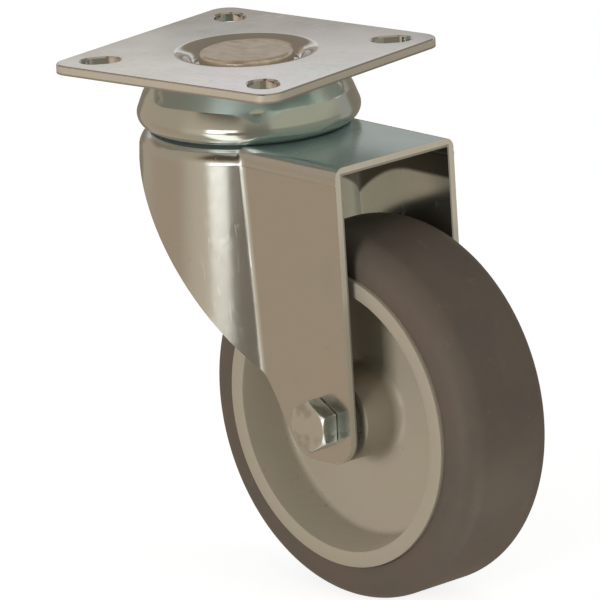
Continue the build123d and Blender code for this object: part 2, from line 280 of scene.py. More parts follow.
# ---- shader maths ----
class Term:
    """One output of a finish's nodes, used in a sum. Each operator adds its Math node."""

    def __init__(self, finish, socket):
        self.finish = finish
        self.socket = socket

    def __add__(self, other):
        return self.finish.maths("ADD", self, other)

    __radd__ = __add__

    def __sub__(self, other):
        return self.finish.maths("SUBTRACT", self, other)

    def __rsub__(self, other):
        return self.finish.maths("SUBTRACT", other, self)

    def __mul__(self, other):
        return self.finish.maths("MULTIPLY", self, other)

    __rmul__ = __mul__

    def __neg__(self):
        return self * -1

    def __abs__(self):
        return self.finish.maths("ABSOLUTE", self)


class Finish:
    """The nodes of one material or of the world."""

    def __init__(self, tree):
        self.tree = tree
        tree.nodes.clear()

    def node(self, kind, settings=None, sockets=None, output=0):
        """Adds one node, with its settings and its sockets' values or links. Gives one output."""
        made = self.tree.nodes.new(kind)
        for name, value in (settings or {}).items():
            setattr(made, name, value)
        for name, value in (sockets or {}).items():
            if isinstance(value, Term):
                self.tree.links.new(value.socket, made.inputs[name])
            else:
                made.inputs[name].default_value = value
        return Term(self, made.outputs[output]) if made.outputs else None

    def maths(self, operation, *values):
        return self.node("ShaderNodeMath", {"operation": operation}, dict(enumerate(values)))

    def vector(self, operation, *values, output=0):
        sockets = dict(enumerate(values))
        return self.node("ShaderNodeVectorMath", {"operation": operation}, sockets, output)

    def dot(self, vector, axis):
        return self.vector("DOT_PRODUCT", vector, tuple(axis), output=1)

    def parts(self, vector):
        """The three parts of a vector."""
        split = self.node("ShaderNodeSeparateXYZ", sockets={0: vector})
        return [Term(self, socket) for socket in split.socket.node.outputs]

    def places(self):
        """The place on the piece, in its own coordinates."""
        return self.node("ShaderNodeTexCoord", output=3)

    def facing(self):
        """The direction in which the surface looks, in the piece's own coordinates."""
        return self.node("ShaderNodeTexCoord", output=1)

    def mapped(self, vector, turn=(0, 0, 0), scale=(1, 1, 1)):
        sockets = {"Vector": vector, "Rotation": turn, "Scale": scale}
        return self.node("ShaderNodeMapping", sockets=sockets)

    def noise(self, vector, scale, detail=2.0, rough=0.5):
        """Noise of so many cells a metre, or a unit of a mapped vector."""
        sockets = {"Vector": vector, "Scale": scale, "Detail": detail, "Roughness": rough}
        return self.node("ShaderNodeTexNoise", sockets=sockets)

    def spots(self, vector, scale):
        """Distance to the nearest of many scattered points."""
        sockets = {"Vector": vector, "Scale": scale, "Randomness": 1.0}
        return self.node("ShaderNodeTexVoronoi", {"feature": "F1"}, sockets)

    def step(self, value, low, high):
        """0 below low, 1 above high, and a smooth rise between them."""
        sockets = {"Value": value, "From Min": low, "From Max": high}
        return self.node("ShaderNodeMapRange", {"interpolation_type": "SMOOTHSTEP"}, sockets)

    def patches(self, vector, scale, detail, rough, low, high):
        """Noise as patches: 0 where it is below low and 1 where it is above high."""
        return self.step(self.noise(vector, scale, detail, rough), low, high)

    def mix(self, factor, first, second):
        """A colour between two colours."""
        ends = (value if isinstance(value, Term) else (*value[:3], 1) for value in (first, second))
        sockets = dict(zip((0, 6, 7), (factor, *ends)))
        return self.node("ShaderNodeMix", {"data_type": "RGBA"}, sockets, output=2)

    def coats(self, base, *coats):
        """A colour with coats over it, each of them a factor and a colour."""
        for factor, coat in coats:
            base = self.mix(factor, base, coat)
        return base

    def relief(self, *heights):
        """Bumps over one another, each of them a height and its depth in millimetres."""
        below = None
        for height, depth in heights:
            below = self.bump(height, depth * MM, below)
        return below

    def bump(self, height, depth, below=None):
        sockets = {"Height": height, "Distance": depth}
        if below is not None:
            sockets["Normal"] = below
        return self.node("ShaderNodeBump", sockets=sockets)

    def surface(self, base, roughness, normal, **constants):
        """The Principled shader and the material's output. Gives the material."""
        sockets = {"Base Color": base, "Roughness": roughness, "Normal": normal}
        sockets.update({name.replace("_", " "): value for name, value in constants.items()})
        shader = self.node("ShaderNodeBsdfPrincipled", sockets=sockets)
        self.node("ShaderNodeOutputMaterial", sockets={"Surface": shader})
        return self.material


def new_finish(name):
    """The nodes of a new, empty material."""
    material = bpy.data.materials.new(name)
    material.use_nodes = True
    finish = Finish(material.node_tree)
    finish.material = material
    return finish


def set_finish(material, *nodes):
    """Gives CAD nodes a finish in their own material slots."""
    for name in nodes:
        for material_slot in frame["nodes"][name].material_slots:
            material_slot.material = material


def shade(base, *parts):
    """A colour with its parts multiplied, by one number or by three."""
    return tuple(value * part for value, part in zip(base, parts * 3))


# ---- modelling ----
NEAR = 0.002 * MM  # how far an edge may lie from the ring that it is picked for
MERGE = 0.001 * MM  # vertices closer than this are one
BEND_STEP = 0.35 * MM  # rounding that one strip of faces may cover


def begin(name, primitive, grow=(1, 1, 1), shift=(0, 0, 0), **shape):
    """A new primitive, alone selected and in edit mode, under its own name."""
    bpy.ops.object.select_all(action="DESELECT")
    primitive(enter_editmode=True, location=(0, 0, 0), **shape)
    piece = bpy.context.edit_object
    piece.name = piece.data.name = name
    bpy.ops.mesh.select_all(action="SELECT")
    bpy.ops.transform.resize(value=grow)
    bpy.ops.transform.translate(value=shift)
    return piece


def end_editing():
    bpy.ops.object.mode_set(mode="OBJECT")


def choose(kind, rule):
    """Selects in edit mode the edges or faces that a rule picks by place or normal."""
    bpy.ops.mesh.select_mode(type=kind)
    bpy.ops.mesh.select_all(action="DESELECT")
    piece = bpy.context.edit_object
    mesh = bmesh.from_edit_mesh(piece.data)
    found = [part for part in (mesh.edges if kind == "EDGE" else mesh.faces) if rule(part)]
    if not found:
        raise RuntimeError(f"{piece.name}: nothing lies where the next step needs it")
    for part in found:
        part.select_set(True)
    bmesh.update_edit_mesh(piece.data)


def bevel(offset, segments):
    bpy.ops.mesh.bevel(offset=offset, segments=segments, affect="EDGES")


def on_ring(radius, height):
    """Rule for the edges of one ring about Z."""

    def rule(edge):
        return all(
            abs(vertex.co.z - height) < NEAR and abs(vertex.co.to_2d().length - radius) < NEAR
            for vertex in edge.verts
        )

    return rule


def turn(name, outline, steps, solid=False):
    """A turned piece about Z. A ring goes from corner to corner of an outline of (radius, height,
    rounding), back to the first one or, on a solid piece, to a pole at each end. Then the corners
    are rounded."""
    radius, height, _ = outline[0]
    circle = {"vertices": steps, "radius": radius, "fill_type": "TRIFAN" if solid else "NOTHING"}
    piece = begin(name, bpy.ops.mesh.primitive_circle_add, shift=(0, 0, height), **circle)
    choose("EDGE", on_ring(radius, height))
    ends = [(0, outline[-1][1], 0)] if solid else outline[:1]
    for next_radius, next_height, _ in outline[1:] + ends:
        rise = (0, 0, next_height - height)
        bpy.ops.mesh.extrude_edges_move(TRANSFORM_OT_translate={"value": rise})
        grow = next_radius / radius
        centre = (0, 0, next_height)
        bpy.ops.transform.resize(value=(grow, grow, 1), center_override=centre)
        radius, height = next_radius, next_height
    bpy.ops.mesh.select_all(action="SELECT")
    bpy.ops.mesh.remove_doubles(threshold=MERGE)
    bpy.ops.mesh.normals_make_consistent(inside=False)
    for radius, height, rounding in outline:
        if rounding:
            choose("EDGE", on_ring(radius, height))
            bevel(rounding, max(2, ceil(rounding / BEND_STEP)))
    end_editing()
    return piece


def rod(name, radius, top, bottom, steps):
    return turn(name, [(radius, top, 0), (radius, bottom, 0)], steps, solid=True)


def change(piece, kind, **settings):
    """Adds a modifier and applies it."""
    modifier = piece.modifiers.new(kind.title(), kind)
    for name, value in settings.items():
        setattr(modifier, name, value)
    bpy.context.view_layer.objects.active = piece
    bpy.ops.object.modifier_apply(modifier=modifier.name)


def combine(piece, other, operation):
    """Cuts, joins or trims a piece with another one, which is used up."""
    change(piece, "BOOLEAN", object=other, operation=operation, solver="EXACT")
    bpy.data.objects.remove(other)


def place(piece, matrix, smooth=30):
    """Sets a piece in its place, in its mesh, merges what its cuts left all but touching, and
    shades it smooth except over its sharp edges."""
    piece.data.transform(matrix)
    bpy.ops.object.select_all(action="DESELECT")
    piece.select_set(True)
    bpy.context.view_layer.objects.active = piece
    bpy.ops.object.mode_set(mode="EDIT")
    bpy.ops.mesh.select_all(action="SELECT")
    bpy.ops.mesh.remove_doubles(threshold=MERGE)
    bpy.ops.mesh.dissolve_degenerate(threshold=MERGE)
    end_editing()
    bpy.ops.object.shade_smooth_by_angle(angle=radians(smooth))


def hand_over(piece, material, body, slot, *nodes):
    """Gives a piece its finish and its body, and hides the CAD nodes that it stands for."""
    piece.data.materials.clear()
    piece.data.materials.append(material)
    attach(piece, body)
    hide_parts(*nodes)


# ---- finishes ----
def plating(kind, wave, edge=None, washes=()):
    """Bright zinc on pressed sheet: drifting tints, faint stains, fine scratches and soft waves.
    A wash is a mask, the plating's colour there, how much duller it is and how hazy; the fork's
    washes are painted shade and a painted reflection. The edge's masks give the dull band of a
    sheared edge, in its own colour, which on the fork is light as a painted highlight, and its
    torn strip."""
    settings = bpy.context.scene.castor_sheet
    finish = new_finish(f"{kind}_plating")
    spot = finish.places()
    cool = finish.patches(spot, 55, 2, 0.5, 0.5, 0.7)
    warm = finish.patches(spot, 190, 4, 0.6, 0.5, 0.72)
    stains = finish.patches(spot, 420, 5, 0.65, 0.6, 0.76)
    coats = [(cool * 0.4, settings.cool_tint), (warm * 0.35, settings.warm_tint)]
    coats += [(stains * 0.1, settings.stain_colour)]
    tint = finish.coats(getattr(settings, f"{kind}_colour"), *coats)

    brushed = finish.mapped(spot, (0.3, 0.2, 0.5), (200, 4200, 200))
    crossed = finish.mapped(spot, (1.1, 0.4, 1.9), (3900, 150, 170))
    scratches = finish.patches(brushed, 1, 1, 0.5, 0.68, 0.73)
    scratches = scratches + finish.patches(crossed, 1, 1, 0.5, 0.69, 0.74)
    dull = getattr(settings, f"{kind}_roughness") + finish.noise(spot, 130, 3) * 0.08 - 0.04
    dull = dull + scratches * 0.07 + stains * 0.08
    waves = (finish.noise(spot, 38, 1), wave / MM)
    relief = finish.relief(waves, (finish.noise(spot, 2600), 0.0004), (1 - scratches, 0.0008))
    metal = 1.0
    for mask, wash_colour, wash_dull, haze in washes:
        depth = mask(finish, spot)
        tint = finish.mix(depth, tint, wash_colour)
        dull = dull + depth * wash_dull
        metal = metal - depth * haze
    if edge:
        # On the fork this band's light colour is partly a painted highlight of the rounded edge.
        sheared = getattr(settings, f"{kind}_edge_colour")
        band, inner = edge(finish, spot)
        torn_lines = finish.noise(finish.mapped(spot, scale=(900, 900, 60)), 1, 3, 0.7)
        torn = finish.mix(torn_lines, shade(sheared, 0.9), sheared)
        torn = finish.mix(inner * 0.7, torn, shade(sheared, 0.3))
        tint = finish.mix(band, tint, torn)
        dull = dull + band * 0.24
        metal = metal * (1 - band * 0.75)
        relief = finish.bump(torn_lines * band, 0.02 * MM, relief)
    return finish.surface(tint, dull, relief, Metallic=metal)


def plate_edge(finish, spot):
    """Masks of the plate's sheared sides, and of the torn strip along their lower edge."""
    x, y, z = finish.parts(spot)
    _, _, up = finish.parts(finish.facing())
    far = finish.maths("MAXIMUM", abs(x), abs(y))
    side = finish.step(far, PLATE_HALF - 2.6 * MM, PLATE_HALF - 2.4 * MM)
    side = side * (1 - finish.step(abs(up), 0.3, 0.6))
    return side, finish.step(-z, PLATE_THICKNESS - 0.5 * MM, PLATE_THICKNESS - 0.3 * MM)


def plate_underside(finish, spot):
    """Mask of the plate's underside, where the wash ran together."""
    return finish.step(-finish.parts(finish.facing())[2], 0.5, 0.8)


# Where the fork's finish changes, from and to: reach ahead of the kingpin, or depth under the
# plate's face.
FRONT_REACH = (43 * MM, 44 * MM)  # the legs' front edges
REAR_REACH = (-16 * MM, -15 * MM)  # behind it lies the crown's rear edge
RAKED_DEPTH = (22.5 * MM, 23 * MM)  # below it lie the legs' raked edges
CROWN_DEPTH = (18 * MM, 18.1 * MM)
ROOF_DEPTH = (19 * MM, 19.5 * MM)
HOLLOW_SHADE_REACH = (24 * MM, 41 * MM)  # the painted shade inside the fork fades towards the open front
ROOF_SHADOW_START = 33.2 * MM  # the painted shadow strip under the roof grows deeper behind this reach
ROOF_SHADOW_LIMIT = 16.5 * MM  # and no deeper after this way
ROOF_SHADOW_DEPTH = 24.2 * MM
ROOF_SHADOW_GROWTH = 28


def on_fork(finish, spot):
    """Reach, place aside and depth on the fork, then how far its surface looks ahead, across
    and up."""
    facing = finish.facing()
    reach, aside = (finish.dot(spot, axis) for axis in (FORWARD, ACROSS))
    ahead, across = (finish.dot(facing, axis) for axis in (FORWARD, ACROSS))
    return reach, aside, -finish.parts(spot)[2], ahead, across, finish.parts(facing)[2]


def fork_edge(finish, spot):
    """Masks of the fork's cut edges, where the face looks neither across the fork nor up or down
    under the crown, and whose light colour is partly a painted highlight over the dull zinc,
    and of the torn strip along their inner side."""
    settings = bpy.context.scene.castor_sheet
    reach, aside, depth, ahead, across, _ = on_fork(finish, spot)
    flat = 1 - finish.step(abs(across), 0.1, 0.2)
    front = finish.step(ahead, 0.9, 0.97) * finish.step(reach, *FRONT_REACH)
    legs = finish.step(depth, *RAKED_DEPTH) * finish.step(reach, *REAR_REACH)
    torn_from = settings.half_width - settings.sheet * 0.75
    inner_side = 1 - finish.step(abs(aside), torn_from - 0.1 * MM, torn_from)
    under_roof = finish.step(depth, ROOF + settings.sheet * 0.7, ROOF + settings.sheet * 0.75)
    below = finish.maths("MAXIMUM", under_roof, finish.step(depth, *CROWN_DEPTH))
    return flat * finish.maths("MAXIMUM", front, legs), inner_side * below


def fork_hollow_shade(finish, spot):
    """Mask of painted shade inside the fork, in a darker teal: the legs' inner faces and the
    roof's underside, most of all where they meet."""
    reach, aside, depth, _, across, up = on_fork(finish, spot)
    legs = finish.step(-(across * aside), 5 * MM, 10 * MM)
    legs = legs * (1 - finish.step(reach, *HOLLOW_SHADE_REACH) * 0.85)
    roof = finish.step(-up, 0.5, 0.8) * (1 - finish.step(depth, *ROOF_DEPTH))
    below_roof = depth - ROOF - bpy.context.scene.castor_sheet.sheet
    corner = 1 - finish.step(below_roof, 0.5 * MM, 4.5 * MM)
    return finish.maths("MINIMUM", finish.maths("MAXIMUM", legs, roof) * (0.6 + corner * 0.4), 1)


def fork_roof_shadow(finish, spot):
    """Mask of painted shadow: a near-black strip in the corner under the roof, for the roof's
    shadow and dark reflection there. It grows deeper towards the kingpin."""
    reach, aside, depth, _, across, _ = on_fork(finish, spot)
    back = finish.maths("MAXIMUM", ROOF_SHADOW_START - reach, 0)
    back = finish.maths("MINIMUM", back, ROOF_SHADOW_LIMIT)
    below_edge = depth - ROOF_SHADOW_DEPTH - back * back * ROOF_SHADOW_GROWTH
    inside = finish.step(-(across * aside), 1 * MM, 4 * MM)
    return inside * (1 - finish.step(below_edge, -0.5 * MM, 0.6 * MM)) * 0.94


def fork_crown_reflection(finish, spot):
    """Mask of the crown's flat, plated bluer and hazier as a painted reflection of the
    skirt's shaded underside.
    """
    return finish.step(finish.parts(finish.facing())[2], 0.75, 0.97)


PLATE_WASHES = [(plate_underside, (0.54, 0.63, 0.64), 0.34, 0.1)]
# The fork's washes are painted light: shade inside the fork, a shadow strip under the roof and a
# reflection on the crown's flat.
FORK_WASHES = [
    (fork_hollow_shade, (0.37, 0.5, 0.48), 0.12, 0.12),
    (fork_roof_shadow, (0.05, 0.05, 0.04), 0.1, 0),
    (fork_crown_reflection, (0.51, 0.63, 0.63), 0.03, 0.24),
]


def peened_steel(settings):
    """The rivet head: hammered steel, dull in its dents and rubbed bright on its high places."""
    finish = new_finish("peened_steel")
    spot = finish.places()
    flow = finish.noise(finish.mapped(spot, (0, 0, 0.6), (240, 620, 300)), 1, 4, 0.6)
    blots = finish.noise(spot, 330, 3)
    worn = (finish.step(flow, 0.4, 0.65), settings.worn_colour)
    spotted = (finish.step(blots, 0.55, 0.75) * 0.6, settings.spot_colour)
    tint = finish.coats(settings.colour, worn, spotted)
    relief = finish.relief((flow, 0.05), (finish.noise(spot, 1500, 3), 0.012))
    return finish.surface(tint, 0.3 + blots * 0.14, relief, Metallic=1.0)


def bright_bolt(settings):
    """Zinc on cold-headed steel, with a forged grain."""
    finish = new_finish("bolt_plating")
    spot = finish.places()
    drift = finish.noise(spot, 260)
    tint = finish.mix(finish.step(drift, 0.45, 0.7), settings.colour, settings.shade_colour)
    forged = (finish.noise(spot, 900, 3, 0.6), 0.06)
    relief = finish.relief(forged, (finish.noise(spot, 5200), 0.002))
    return finish.surface(tint, 0.2 + drift * 0.12, relief, Metallic=1.0)


def turned_steel(name, base, roughness):
    """Plain steel with fine marks left by turning and grinding."""
    finish = new_finish(name)
    spot = finish.places()
    marks = finish.noise(finish.mapped(spot, scale=(400, 4200, 400)), 1)
    tint = finish.mix(finish.noise(spot, 300) * 0.4, base, shade(base, 0.8))
    relief = finish.relief((marks, 0.002))
    return finish.surface(tint, roughness + marks * 0.08, relief, Metallic=1.0)


def nylon():
    """Natural nylon, milky and slightly uneven."""
    finish = new_finish("natural_nylon")
    spot = finish.places()
    cloud = finish.noise(spot, 420, 3)
    tint = finish.mix(cloud, (0.74, 0.73, 0.66), (0.86, 0.85, 0.8))
    relief = finish.relief((finish.noise(spot, 2400), 0.004))
    return finish.surface(tint, 0.42 + cloud * 0.1, relief)


def about_axle(finish, spot):
    """Distance from the axle's line, and place along it from the wheel's middle."""
    offset = finish.vector("SUBTRACT", spot, tuple(AXLE))
    along = finish.dot(offset, ACROSS)
    line = finish.vector("SCALE", tuple(ACROSS))
    finish.tree.links.new(along.socket, line.socket.node.inputs["Scale"])
    return finish.vector("LENGTH", finish.vector("SUBTRACT", offset, line), output=1), along


def moulded_plastic(settings):
    """Satin moulded plastic: faint flow marks, a fine grain, and fine dark patches along the
    corner where the web meets the rim.
    """
    finish = new_finish("moulded_plastic")
    spot = finish.places()
    radius, _ = about_axle(finish, spot)
    base = settings.core_colour
    flow = finish.noise(spot, 70, 3, 0.55)
    fine = finish.noise(spot, 360, 4, 0.6)
    web_edge = settings.rim_radius - settings.rim_wall - settings.wall_draft
    # Darker in fine patches along the corner where the web meets the rim.
    corner = 1 - finish.step(abs(radius - web_edge), 0.2 * MM, 1.6 * MM)
    corner_dark_patches = finish.patches(spot, 1100, 4, 0.7, 0.55, 0.75)
    specks = 1 - finish.step(finish.spots(spot, 260), 0.03, 0.09)
    rare = finish.patches(spot, 95, 1, 0.5, 0.58, 0.66)
    coats = (
        (finish.step(flow, 0.42, 0.66), shade(base, 0.97, 1, 0.95)),
        (finish.step(fine, 0.5, 0.75) * 0.35, shade(base, 1.06, 1, 1)),
        (corner * corner_dark_patches * 0.5, settings.grime_colour),
        (specks * rare * 0.5, settings.speck_colour),
    )
    relief = finish.relief((finish.noise(spot, 2100, 3), 0.004), (flow, 0.06))
    gloss = {"Coat_Weight": 0.5, "Coat_Roughness": 0.14}
    return finish.surface(finish.coats(base, *coats), 0.36 + fine * 0.12, relief, **gloss)


def soft_rubber(settings):
    """Smooth rubber: cloudy brown and grey, dusty smudges, fine rolling scuffs on the tread."""
    finish = new_finish("soft_rubber")
    spot = finish.places()
    radius, along = about_axle(finish, spot)
    base = settings.tyre_colour
    cloud = finish.noise(spot, 62, 3, 0.6)
    fine = finish.noise(spot, 540, 4, 0.65)
    smudges = finish.patches(spot, 210, 5, 0.7, 0.6, 0.75)
    tread = finish.step(radius, TYRE_RADIUS - 2.5 * MM, TYRE_RADIUS - 0.6 * MM)
    coats = (
        (finish.step(cloud, 0.4, 0.66), shade(base, 0.88, 0.95, 0.98)),
        (finish.step(fine, 0.48, 0.78) * 0.35, shade(base, 1.25, 1.2, 1.2)),
        (smudges * (0.12 + tread * 0.2), settings.dust_colour),
    )
    rings = finish.node("ShaderNodeCombineXYZ", sockets={0: along * 2600, 1: radius * 900})
    scuffs = finish.patches(rings, 1, 1, 0.5, 0.55, 0.75) * finish.step(cloud, 0.45, 0.6)
    grain = (finish.noise(spot, 1800, 4, 0.6), 0.012)
    relief = finish.relief(grain, (scuffs, 0.004), (cloud, 0.12))
    dull = 0.47 + fine * 0.14 + scuffs * 0.05
    return finish.surface(finish.coats(base, *coats), dull, relief, Specular_IOR_Level=0.42)


# ---- stage ----
FLOOR_REACH = 8.0
FLOOR_EDGES = 96
# Lamps: azimuth, elevation, distance from the object and width.
LAMPS = {"key": (0, 4, 1.0, 0.4), "fill": (96, 10, 1.2, 0.6)}
# The camera: where it stands, the point that it looks at, and how far it is rolled.
CAMERA_PLACE = Vector((0.96971, -1.19399, 0.37193))
CAMERA_TARGET = Vector((0.015948, -0.005611, -0.051652))
CAMERA_ROLL = -2.706
# Panels of the reflection tent: azimuth and elevation of the middle, half width, half height and
# soft margin in degrees, and what it gives off. Azimuth 0 is in front of the plate's near side
# and 90 is to its right.
PANELS = {
    "warm_corner": (-60, -18, 22, 14, 8, (0.49, 0.37, 0.275)),
    "left_glow": (-16, -2, 16, 22, 12, (0.66, 0.54, 0.42)),
    "right_upper": (98, 30, 62, 20, 7, (0.5, 0.47, 0.37)),
    "right_wall": (100, -5, 48, 16, 7, (0.31, 0.3, 0.24)),
    "right_bounce": (98, -48, 40, 22, 8, (2.4, 2.25, 1.9)),
    "pale_back": (-164, 2, 50, 24, 3, (0.425, 0.39, 0.355)),
    "brown_back": (-150, -8, 42, 18, 3, (0.27, 0.225, 0.18)),
    "pale_screen": (-160, 37.0, 50, 21, 0.5, (0.83, 0.81, 0.79)),
    "brown_ceiling": (-150, 64, 70, 42, 5, (0.28, 0.235, 0.185)),
    "screen_end": (-133, 17, 5.5, 1.2, 0.4, (0.79, 0.765, 0.71)),
    "screen_fold": (-149, 15.6, 5.5, 1.4, 0.4, (0.4, 0.375, 0.35)),
    "dark_stand": (45, -15, 14, 42, 5, (0.22, 0.21, 0.17)),
    "dark_ceiling": (3, 53, 25, 25, 6, (0.11, 0.078, 0.055)),
    "front_table": (6, -43, 17, 28, 3, (1.6, 1.5, 1.4)),
    "floor_below": (0, -90, 180, 25, 5, (0.9, 0.85, 0.78)),
    "window": (9, 5, 15, 12, 3, (2.4, 2.3, 2.2)),
    "dark_post": (26, -11, 13, 12, 3, (0.24, 0.19, 0.15)),
}


def direction(azimuth, elevation):
    """Direction from the object towards an azimuth and an elevation in degrees."""
    aside, level = radians(azimuth), cos(radians(elevation))
    return Vector((sin(aside) * level, -cos(aside) * level, sin(radians(elevation))))


def make_tent(settings, centre):
    """A tent that only reflections see: a warm grey room with its windows and dark corners."""
    ball = {"segments": 48, "ring_count": 24, "grow": (settings.tent_radius,) * 3}
    tent = begin("reflection_tent", bpy.ops.mesh.primitive_uv_sphere_add, **ball)
    bpy.ops.mesh.normals_make_consistent(inside=True)
    end_editing()
    tent.location = centre
    finish = new_finish("tent_panels")
    x, y, z = finish.parts(finish.vector("NORMALIZE", finish.places()))
    azimuth = finish.maths("ARCTAN2", x, -y) * (180 / pi)
    elevation = finish.maths("ARCSINE", z) * (180 / pi)
    glow = settings.tent_colour
    for middle, level, half_width, half_height, margin, light in PANELS.values():
        aside = abs(finish.maths("WRAP", azimuth - middle, 180, -180))
        above = abs(elevation - level)
        inside = 1 - finish.step(aside, half_width - margin, half_width + margin)
        inside = inside * (1 - finish.step(above, half_height - margin, half_height + margin))
        glow = finish.mix(inside, glow, light)
    shader = finish.node("ShaderNodeEmission", sockets={"Color": glow, "Strength": 1.0})
    finish.node("ShaderNodeOutputMaterial", sockets={"Surface": shader})
    tent.data.materials.append(finish.material)
    for rays in ("camera", "diffuse", "transmission", "shadow"):
        setattr(tent, f"visible_{rays}", False)


def seen_background(finish):
    """1 for the rays that show the background: from the camera, and through gloss and glass."""
    path = finish.node("ShaderNodeLightPath").socket.node.outputs
    camera, gloss, glass = (
        Term(finish, path[f"Is {kind} Ray"]) for kind in ("Camera", "Glossy", "Transmission")
    )
    return finish.maths("MINIMUM", camera + gloss + glass, 1)


def glowing(finish, kind, light, strength):
    """A background or emission node of one colour."""
    return finish.node(kind, sockets={"Color": (*light, 1), "Strength": strength})


def make_world(settings):
    world = bpy.data.worlds.new("studio")
    bpy.context.scene.world = world
    world.use_nodes = True
    finish = Finish(world.node_tree)
    lit = glowing(finish, "ShaderNodeBackground", settings.sky_colour, settings.sky_level)
    shown = glowing(finish, "ShaderNodeBackground", settings.background, 1.0)
    sockets = {0: seen_background(finish), 1: lit, 2: shown}
    both = finish.node("ShaderNodeMixShader", sockets=sockets)
    finish.node("ShaderNodeOutputWorld", sockets={"Surface": both})


def make_floor(settings):
    disc = {"vertices": FLOOR_EDGES, "radius": 1, "fill_type": "NGON"}
    disc.update(grow=(FLOOR_REACH,) * 3, shift=(0, 0, FLOOR_LEVEL))
    floor = begin("floor", bpy.ops.mesh.primitive_circle_add, **disc)
    end_editing()
    finish = new_finish("floor")
    lit = finish.node("ShaderNodeBsdfDiffuse", sockets={"Color": (*settings.floor_colour, 1)})
    strength = seen_background(finish) * settings.floor_glow
    glow = glowing(finish, "ShaderNodeEmission", settings.background, strength)
    both = finish.node("ShaderNodeAddShader", sockets={0: lit, 1: glow})
    finish.node("ShaderNodeOutputMaterial", sockets={"Surface": both})
    floor.data.materials.append(finish.material)
    floor.visible_glossy = False


def make_lamp(name, azimuth, elevation, distance, size, power, centre):
    """A soft square lamp that dull surfaces see and reflections don't."""
    lamp = bpy.data.lights.new(name, "AREA")
    lamp.size = size
    lamp.energy = power
    holder = bpy.data.objects.new(name, lamp)
    bpy.context.scene.collection.objects.link(holder)
    towards = direction(azimuth, elevation)
    holder.location = centre + towards * distance
    holder.rotation_euler = towards.to_track_quat("Z", "Y").to_euler()
    holder.visible_glossy = False


def make_camera(settings):
    lens = bpy.data.cameras.new("camera")
    lens.lens = settings.lens / MM
    lens.sensor_width = settings.sensor / MM
    camera = bpy.data.objects.new("camera", lens)
    bpy.context.scene.collection.objects.link(camera)
    look = (CAMERA_TARGET - CAMERA_PLACE).to_track_quat("-Z", "Y").to_matrix()
    roll = Matrix.Rotation(radians(CAMERA_ROLL), 3, "Z")
    camera.matrix_world = Matrix.Translation(CAMERA_PLACE) @ (look @ roll).to_4x4()
    bpy.context.scene.camera = camera


class CASTOR_OT_studio(bpy.types.Operator):
    """Sets up the pale floor, the lamps, the reflection tent and the camera"""

    bl_idname = "castor.studio"
    bl_label = "Studio"

    def execute(self, context):
        settings = context.scene.castor_studio
        centre = (cad_box[0] + cad_box[1]) / 2
        context.scene.view_settings.view_transform = "Standard"
        make_world(settings)
        make_floor(settings)
        make_tent(settings, centre)
        for name, stand in LAMPS.items():
            make_lamp(name, *stand, getattr(settings, f"{name}_power"), centre)
        make_camera(settings)
        return {"FINISHED"}


# ---- top plate ----
CORNER_STEPS, EDGE_STEPS, SLOT_STEPS, RIM_STEPS, FLOOR_STEPS = 12, 5, 16, 12, 6
NEARLY_HALF = 0.4999  # so that a slot's round ends don't quite meet


def block(name, size, low):
    """A rectangular block in edit mode, about Z and from a height upwards."""
    shift = (0, 0, low + size[2] / 2)
    return begin(name, bpy.ops.mesh.primitive_cube_add, grow=size, shift=shift, size=1)


def upright(edge):
    """Rule for the edges that stand upright."""
    return abs(edge.verts[0].co.z - edge.verts[1].co.z) > MM


def slot_cutter(settings):
    """The shape that a slot takes out of the plate, with the bevel of its mouth."""
    long, wide, mouth = settings.slot_length, settings.slot_width, settings.slot_mouth
    deep = 3 * PLATE_THICKNESS
    cutter = block("slot_cutter", (long, wide, deep), -mouth - deep)
    choose("EDGE", upright)
    bevel(wide * NEARLY_HALF, SLOT_STEPS)
    choose("FACE", lambda face: face.normal.z > 0.9)
    rise = (0, 0, 2 * mouth)
    bpy.ops.mesh.extrude_region_move(TRANSFORM_OT_translate={"value": rise})
    grow = (1 + 4 * mouth / long, 1 + 4 * mouth / wide, 1)
    bpy.ops.transform.resize(value=grow, center_override=(0, 0, mouth))
    end_editing()
    return cutter


def dish_outline(settings):
    """Outline of what the dish takes out: a wide bend over the rim, a short wall and the floor."""
    steep, rim, floor = settings.dish_slope, settings.rim_bend, settings.floor_bend
    wall = settings.dish_depth - (rim + floor) * (1 - cos(steep))
    foot = settings.dish_radius - rim * sin(steep) - wall / tan(steep)
    lead = settings.dish_radius + 0.5 * MM
    outline = [(lead, PLATE_THICKNESS, 0), (lead, 0.02 * MM, 0)]
    for bend in range(1, RIM_STEPS + 1):
        slope = steep * bend / RIM_STEPS
        outline.append((settings.dish_radius - rim * sin(slope), -rim * (1 - cos(slope)), 0))
    for bend in range(FLOOR_STEPS + 1):
        slope = steep * (1 - bend / FLOOR_STEPS)
        height = floor * (1 - cos(slope)) - settings.dish_depth
        outline.append((foot - floor * (sin(steep) - sin(slope)), height, 0))
    return outline


